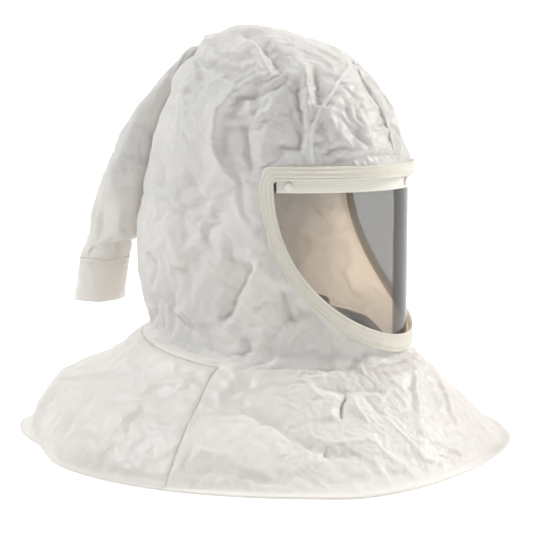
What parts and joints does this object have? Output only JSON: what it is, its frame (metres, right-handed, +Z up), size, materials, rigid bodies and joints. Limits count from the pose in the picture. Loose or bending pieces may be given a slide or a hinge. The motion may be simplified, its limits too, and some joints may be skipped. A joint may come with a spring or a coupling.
{
  "type": "powered air respirator hood",
  "caption": "Loose-fitting air-fed hood of coated white fabric with a wide smoke visor and cape, over a hard hat with a ratchet suspension and an air duct to a rear tube sleeve.",
  "frame": {"origin": "on the supporting surface under the middle of the cape's hem", "axes": "+Z up, the visor faces -Y, +X towards the wearer's left"},
  "size_m": [0.5186, 0.518, 0.436],
  "materials": {
    "fabric": "plastic-coated nonwoven, crinkled, slight gloss",
    "elastic": "knitted elastic",
    "binding": "stitched vinyl tape",
    "lens": "smoke tinted film",
    "brow_band": "smooth cream plastic",
    "hat": "moulded polyethylene",
    "duct": "moulded",
    "strap": "moulded nylon",
    "foam": "foam with a knitted face",
    "grey_plastic": "moulded",
    "knob": "moulded",
    "rubber": "smooth",
    "steel": "plated"
  },
  "bodies": {
    "root": {"hood_panel_left": "fabric", "hood_panel_right": "fabric", "crown_front_panel": "fabric", "back_cape": "fabric", "inner_collar": "fabric", "collar_elastic": "elastic", "tube_sleeve": "fabric", "sleeve_cuff": "fabric", "visor_binding": "binding", "visor_lens": "lens", "brow_band": "brow_band", "snap_cap_left": "brow_band", "snap_cap_front": "brow_band", "snap_cap_right": "brow_band", "snap_socket_left": "steel", "snap_socket_front": "steel", "snap_socket_right": "steel", "hard_hat": "hat", "air_duct": "duct", "air_diffuser_foam": "foam", "air_inlet_elbow": "grey_plastic", "inlet_seal_ring": "rubber", "headband_front": "strap", "sweatband": "foam", "crown_strap_upper": "strap", "crown_strap_lower": "strap", "suspension_key_front_left": "strap", "suspension_key_front_right": "strap", "suspension_key_rear_left": "strap", "suspension_key_rear_right": "strap"},
    "nape_carriage": {"nape_strap_left": "strap", "nape_strap_right": "strap", "nape_pad": "foam", "ratchet_inner_plate": "grey_plastic", "ratchet_cover": "grey_plastic"},
    "ratchet": {"ratchet_knob": "knob", "pinion_gear": "steel"},
    "rack_left": {"rack_tail_left": "strap"},
    "rack_right": {"rack_tail_right": "strap"},
    "hose_coupling": {"hose_swivel_collar": "grey_plastic"}
  },
  "joints": [
    {"name": "nape_slide", "type": "slide", "parent": "root", "child": "nape_carriage", "axis": [0, 1, 0], "range_m": [-0.0117, 0.0117]},
    {"name": "ratchet_turn", "type": "hinge", "parent": "nape_carriage", "child": "ratchet", "pos_m": [0, 0.103, 0.252], "axis": [0, 1, 0], "range_deg": [-135, 135]},
    {"name": "rack_slide_left", "type": "slide", "parent": "nape_carriage", "child": "rack_left", "axis": [1, 0, 0], "range_m": [-0.0117, 0.0117]},
    {"name": "rack_slide_right", "type": "slide", "parent": "nape_carriage", "child": "rack_right", "axis": [-1, 0, 0], "range_m": [-0.0117, 0.0117]},
    {"name": "hose_swivel", "type": "hinge", "parent": "root", "child": "hose_coupling", "pos_m": [0, 0.1575, 0.272], "axis": [0, 0.3779, -0.9258], "continuous": true}
  ],
  "couplings": [
    {"joint": "ratchet_turn", "follows": "nape_slide", "rad_per_m": 200},
    {"joint": "rack_slide_left", "follows": "nape_slide", "ratio": 1},
    {"joint": "rack_slide_right", "follows": "nape_slide", "ratio": 1}
  ]
}
